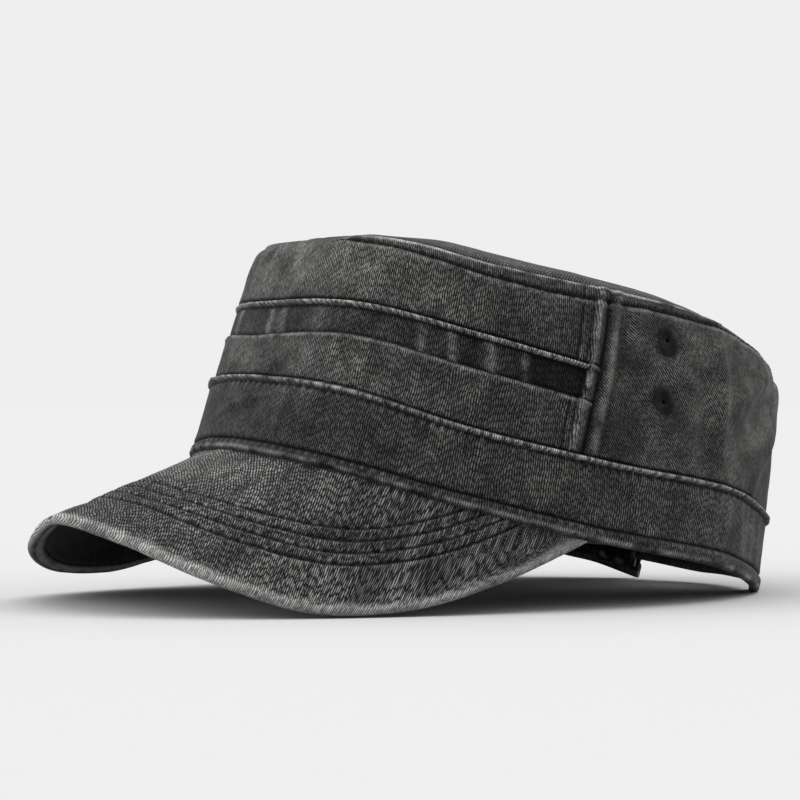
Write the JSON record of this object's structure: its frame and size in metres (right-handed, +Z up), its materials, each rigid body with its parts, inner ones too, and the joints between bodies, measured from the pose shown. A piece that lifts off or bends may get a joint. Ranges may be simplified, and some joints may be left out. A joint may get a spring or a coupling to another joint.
{
  "type": "patrol cap",
  "caption": "Low-crowned cloth cap with an oval top, an inset front strip, a folded band, a curved peak and a strap over an arched back opening.",
  "frame": {"origin": "under the middle of the cap's bounding box, on the surface that it rests on", "axes": "+Z up, -Y towards the front of the peak, +X towards the wearer's left; the cap is stored at rest, tilted back with its front raised"},
  "size_m": [0.1776, 0.257, 0.1183],
  "materials": {
    "washed_twill": "washed charcoal cotton twill, matt, worn paler on its ridges",
    "dark_twill": "unfaded near-black cotton twill, matt",
    "dark_thread": "near-black sewing thread",
    "dark_metal": "dark, dull metal"
  },
  "bodies": {
    "root": {"crown_top": "washed_twill", "front_panel_upper": "washed_twill", "front_strip": "dark_twill", "front_panel_lower": "washed_twill", "rear_panel_left": "washed_twill", "rear_panel_right": "washed_twill", "band": "washed_twill", "hem": "washed_twill", "peak_upper": "washed_twill", "peak_underside": "dark_twill", "back_strap": "washed_twill", "strap_buckle": "dark_metal", "eyelet_left_upper": "dark_thread", "eyelet_left_lower": "dark_thread", "eyelet_right_upper": "dark_thread", "eyelet_right_lower": "dark_thread"}
  },
  "joints": []
}
